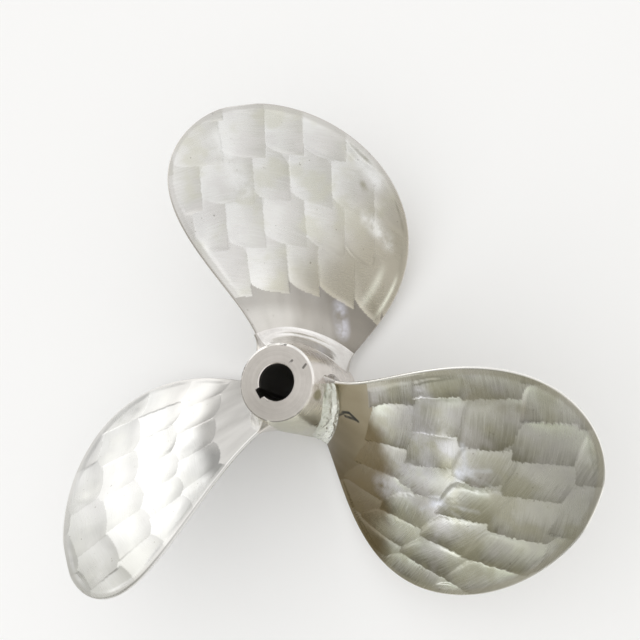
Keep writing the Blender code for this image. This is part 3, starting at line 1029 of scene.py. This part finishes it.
# %% [markdown]
# ## Hub finish
# The end face was turned on a lathe and shows faint rings, and a painted shade darkens it towards
# its lower left. Its chamfer is bright, with a painted highlight towards the top and a painted
# shade line on its lower left, and the bore is painted dark as a painted shade for the deep hole.
# The outside was dressed by hand and is scuffed on the right, and a painted shade, cream and then
# dark khaki, lies along its lower right. One material does all of it: it asks each point for its
# distance from the shaft and its height, in Object coordinates.

# %% Hub material
FACE_NICKS = (((0.0125, 0.0215), (0.0150, 0.0250)), ((0.0290, 0.0185), (0.0312, 0.0222)))
RIM_NICKS = (((-0.0020, 0.0418), (0.0008, 0.0414)), ((0.0030, 0.0416), (0.0045, 0.0414)))
NICK_WIDTH = 0.0018
OLIVE_SPOT = (0.0463, -0.0082, 0.0430)
HUB_TINTS = {
    "dark": (0.72, 0.675, 0.635), "light": (0.94, 0.895, 0.855), "cream": (0.92, 0.90, 0.74),
    "low_side_painted_shade": (0.44, 0.43, 0.35), "far": (0.55, 0.52, 0.48), "olive": (0.30, 0.28, 0.15),
    "chamfer": (0.95, 0.94, 0.92), "chamfer_painted_shade": (0.24, 0.225, 0.20), "nick": (0.12, 0.11, 0.10),
    "bore": (0.30, 0.29, 0.27),
}
SCUFF_X, SCUFF_Y, SCUFF_TO = (0.026, 0.038), (-0.040, -0.028), (0.010, -0.004)
TURNING_DEPTH = 0.00008


def machined_steel():
    material, tree, shader, _ = new_metal("machined steel", 0.3)
    place = object_place(tree)
    x, y, z = parted(place)
    radius = (x * x + y * y).math("SQRT")
    on_face = z.rise(AFT_Z - 0.0006, AFT_Z - 0.0002)
    off_face = on_face.rest()
    cloud = noise(place, 24.0, 4.0)
    dapple = noise(place, 150.0)
    rings = noise(joined(radius * 900.0, z * 900.0), detail=2.0)
    share = cloud * 0.5 + dapple * 0.25 + rings * 0.25
    base = toned(share, 0.32, HUB_TINTS["dark"], 0.68, HUB_TINTS["light"])
    # A painted shade down the lower right of the hub's outside: first a cream cast, then dark khaki.
    low_side_painted_shade = vector_math("DOT_PRODUCT", place, (6.0, -19.0, 0.0)) + (cloud - 0.5) * 0.5
    olive = vector_math("DISTANCE", place, OLIVE_SPOT) + (dapple - 0.5) * 0.006
    # The chamfer is painted bright, more so towards the top as a painted highlight, with a painted shade
    # line along its lower left.
    chamfer = radius.rise(0.0385, 0.0400) * z.rise(AFT_Z - 0.0026, AFT_Z - 0.0021) * off_face
    chamfer_painted_shade = (x * 0.6 + y).rise(0.004, -0.012) * dapple.rise(0.66, 0.52)
    stains = [
        (low_side_painted_shade.rise(0.35, 0.85) * off_face * 0.8, "cream"),
        (low_side_painted_shade.rise(0.66, 0.92) * off_face * 0.8, "low_side_painted_shade"),
        # A painted shade darkens the end face towards its lower left.
        ((x * 0.5 + y).rise(0.010, -0.038) * on_face * 0.30, "far"),
        (olive.rise(0.0085, 0.0040) * 0.75, "olive"),
        (chamfer * y.rise(-0.01, 0.03, 0.2, 0.9), "chamfer"),
        (chamfer * chamfer_painted_shade * 0.90, "chamfer_painted_shade"),
    ]
    flat = joined(x, y)
    for start, end in FACE_NICKS + RIM_NICKS:
        mark = stroke(flat, start, end, NICK_WIDTH) * z.rise(AFT_Z - 0.003, AFT_Z - 0.002)
        stains.append((mark * dapple.rise(0.35, 0.55) * 0.8, "nick"))
    # The bore's wall is painted dark: a painted shade for the deep hole.
    in_bore = radius.rise(0.0318, 0.0312) * z.rise(AFT_Z - 0.0004, AFT_Z - 0.0100)
    in_bore = in_bore * z.rise(FORWARD_Z + 0.0004, FORWARD_Z + 0.0030)
    stains.append((in_bore, "bore"))
    for share, tint in stains:
        base = stained(share, base, HUB_TINTS[tint])
    scuffed = x.rise(*SCUFF_X) * y.rise(*SCUFF_Y) * y.rise(*SCUFF_TO) * off_face
    feed(scuffed * -0.5 + 1.0, shader.inputs["Metallic"])
    rough = (cloud - 0.5) * 0.2 + rings * 0.10 + 0.22 + on_face * 0.06 + in_bore * 0.12 - chamfer * 0.06
    finish_metal(shader, base, rough, rings * 0.7 + dapple * 0.3, TURNING_DEPTH)
    return material


hub.data.materials.clear()
hub.data.materials.append(machined_steel())
print("hub finish:", hub.data.materials[0].name)

# %% [markdown]
# ## Root welds
# Each blade is held by a fillet of weld all round its foot. The upper one was ground to a smooth
# hollow with two polished ridges, and the right one still shows its runs. A bent strip would
# leave gaps at the edges, so the weld is a closed ring: it starts under the hub's skin, curves up
# to the blade and dives under the blade's skin. A second node tool then raises the runs, the
# ripples and the ridges.
# The upper weld's material paints a highlight along the ridges, with a painted shade beside them.

# %% Lay the weld
WELD_COLUMNS, WELD_ROWS = (280, 26, 280), 30
WELD_UNDER_HUB, WELD_UNDER_BLADE = 0.0020, 0.0012
WELD_CHART_WIDTH, WELD_POLISH, WELD_CREASE = 0.015, 0.14, 60.0
WELDS = {
    "on_hub": (0.0150, 0.0120, 0.0165), "on_blade": (0.0210, 0.0130, 0.0115),
    "toe": (0.0003, 0.0002, 0.0), "hollow": (2.1, 1.8, 1.05), "at_edges": (0.6, 0.5, 0.2),
    "Ground": (0.95, 0.85, 0.0), "Polished ridges": (0.0006, 0.0, 0.0),
    "steel": ("weld ground smooth", "weld ground left", "weld as laid"),
    "dark": ((0.77, 0.74, 0.72), (0.66, 0.64, 0.61), (0.56, 0.57, 0.49)),
    "light": ((0.97, 0.955, 0.94), (0.88, 0.87, 0.85), (0.90, 0.91, 0.86)),
    "plain": ((0.62, 0.59, 0.56), (0.66, 0.63, 0.59), (0.62, 0.59, 0.56)),
    "fall": (-14.0, 0.0, 18.0), "grit": (0.00002, 0.00003, 0.00008),
}
WELDING = {
    "Runs": 2.0, "Run height": 0.0011, "Ripple pitch": 0.0026, "Ripple height": 0.00030,
    "Lumps": 0.0009, "Polished ridges": 0.0, "Ground": 0.0, "Seed": 0,
}
LUMP_SCALE, SWING_SCALE = 170.0, 60.0
RIDGES, RIDGE_HALF_WIDTH = ((0.90, -1.2), (0.58, 0.0)), 0.105
RIDGE_FROM, RIDGE_TO = (-0.066, -0.036), (0.052, 0.010)
FOOT_HALF_CHORD = 0.0725
BRUSHED_STRETCH, BRUSHED_STEP = (2600.0, 90.0, 1.0), (0.30, 0.62)
RIDGE_PAINTED_HIGHLIGHT, WELD_OLIVE = (0.98, 0.97, 0.96), (0.32, 0.30, 0.17)


def weld_point(rise, grow, at_edges):
    """Points round the blade's foot, so far above the hub's skin and so far out of the blade's."""
    station = np.full((1, 1), (BARREL_RADIUS + rise) / TIP_RADIUS)
    along, forward = section(station, grow, WELD_COLUMNS, at_edges if grow > 0.0 else 1.0)
    for _ in range(7):
        point = wrap(station, along, forward)
        station = (hub_radius(point[..., 2]) + rise) / TIP_RADIUS
    return wrap(station, along, forward)[0]


def weld_mesh(plan):
    steps = np.linspace(0.0, 1.0, WELD_ROWS)
    on_hub, on_blade = plan["on_hub"], plan["on_blade"]
    outline = [(-WELD_UNDER_HUB, on_hub)]
    outline += [(on_blade * w, on_hub * (1.0 - w) ** plan["hollow"] + plan["toe"]) for w in steps]
    outline += [(on_blade, -WELD_UNDER_BLADE), (-WELD_UNDER_HUB, -WELD_UNDER_BLADE)]
    across = np.array([0.0, *steps, 1.0, 0.5])[:, None]
    shown = np.array([0.0, *np.minimum(1.0, 6.0 * np.minimum(steps, 1.0 - steps)), 0.0, 0.0])[:, None]
    points = np.stack([weld_point(rise, grow, plan["at_edges"]) for rise, grow in outline])
    mesh = grid_mesh("weld_ring", points, False)
    girth = np.linalg.norm(np.roll(points[2], -1, axis=0) - points[2], axis=1)
    travel = np.concatenate([[0.0], np.cumsum(girth)[:-1]])
    shape = points.shape[:2]
    facing = np.full(shape[1], 0.25)
    facing[: WELD_COLUMNS[0] + 1] = 1.0
    keep_on_points(mesh, shape, travel=travel, across=across, shown=shown, facing=facing)
    keep_chart(mesh, shape, across * WELD_CHART_WIDTH, travel)
    return mesh


def welding_tool():
    tree, given = new_tool("weld runs", WELDING)
    names = ("travel", "across", "shown", "facing")
    travel, across, shown, facing = (point_value(tree, name) for name in names)
    place = placed(tree, "GeometryNodeInputPosition", {})
    place = vector_math("ADD", place, given["Seed"] * 10.0)
    lumps = noise(place, LUMP_SCALE) - 0.5
    swing = noise(place, SWING_SCALE, 2.0) - 0.5
    lane = across * given["Runs"] + swing * 2.0
    run_share = (lane - lane.math("FLOOR")) * 2.0 - 1.0
    bead = (run_share * run_share).rest() ** 2.0 * given["Run height"]
    wave = (travel / given["Ripple pitch"] + run_share * run_share * 0.8 + swing * 3.0) * (2.0 * math.pi)
    ripple = wave.math("SINE") * given["Ripple height"]
    rough = (bead + ripple + lumps * given["Lumps"] * 2.0) * given["Ground"].rest()
    along = travel - FOOT_HALF_CHORD
    first, second = ((across - along * lean).bell(middle, RIDGE_HALF_WIDTH) for middle, lean in RIDGES)
    ridge = (first + second) * along.rise(*RIDGE_FROM) * along.rise(*RIDGE_TO)
    ridge = ridge * facing.math("GREATER_THAN", 0.5)
    polish = swing * given["Lumps"] * 0.6 + ridge * given["Polished ridges"]
    depth = (rough * facing + polish) * shown * -1.0
    shape = kept(pushed_in(given["Geometry"], depth), "ridge", ridge, "POINT")
    close_tool(shape, given["Material"])
    return tree


def weld_steel(plan):
    """Weld metal. It is of the plain colour away from the pressure face."""
    material, tree, shader, chart = new_metal(plan["steel"], 0.0)
    place = object_place(tree)
    cloud = noise(place, 45.0, 4.0)
    grain = noise(place, 700.0)
    share = cloud * 0.6 + grain * 0.4 + (parted(chart)[0] - 0.5 * WELD_CHART_WIDTH) * plan["fall"]
    base = toned(share, 0.35, plan["dark"], 0.65, plan["light"])
    base = stained(surface_value(tree, "facing").rise(0.9, 0.4), base, plan["plain"])
    if plan["Polished ridges"]:
        ridge = surface_value(tree, "ridge")
        # A painted shade over the polished ridges' flanks and a painted highlight along their crests,
        # broken into brushed streaks.
        base = stained(ridge.rise(0.02, 0.25) * 0.45, base, plan["dark"])
        brushed = noise(streaked(chart, BRUSHED_STRETCH)).rise(*BRUSHED_STEP)
        base = stained(ridge.rise(0.15, 1.05) * (brushed * 0.6 + 0.25), base, RIDGE_PAINTED_HIGHLIGHT)
    olive = vector_math("DISTANCE", place, OLIVE_SPOT) + (cloud - 0.5) * 0.006
    base = stained(olive.rise(0.0095, 0.0050) * 0.7, base, WELD_OLIVE)
    rough = (cloud - 0.5) * 0.2 + grain * 0.15 + WELD_POLISH
    finish_metal(shader, base, rough, grain, plan["grit"])
    return material


def make_weld(number):
    plan = of_blade(WELDS, number)
    settings = {label: plan[label] for label in ("Ground", "Polished ridges")}
    settings["Material"] = weld_steel(plan)
    return worked("weld_ring", number, weld_mesh(plan), welder, settings, WELD_CREASE)


welder = welding_tool()
welds = {number: make_weld(number) for number in (1, 2, 3)}
print("weld rings:", [len(w.data.polygons) for w in welds.values()])

# %% [markdown]
# ## Hand the pieces over
# Each piece rides on the one rigid body and stands for the solid that it dresses.

# %% Ride, replace and measure


def hand_over(piece, node):
    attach(piece, "root")
    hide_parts(node)


hand_over(hub, "hub")
for number in (1, 2, 3):
    hand_over(blades[number], f"blade_{number}")
    hand_over(welds[number], f"root_weld_{number}")

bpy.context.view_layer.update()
made = [hub, *blades.values(), *welds.values()]
triangles = {piece.name: sum(len(face.vertices) - 2 for face in piece.data.polygons) for piece in made}
print("triangles:", triangles, "in all", sum(triangles.values()))
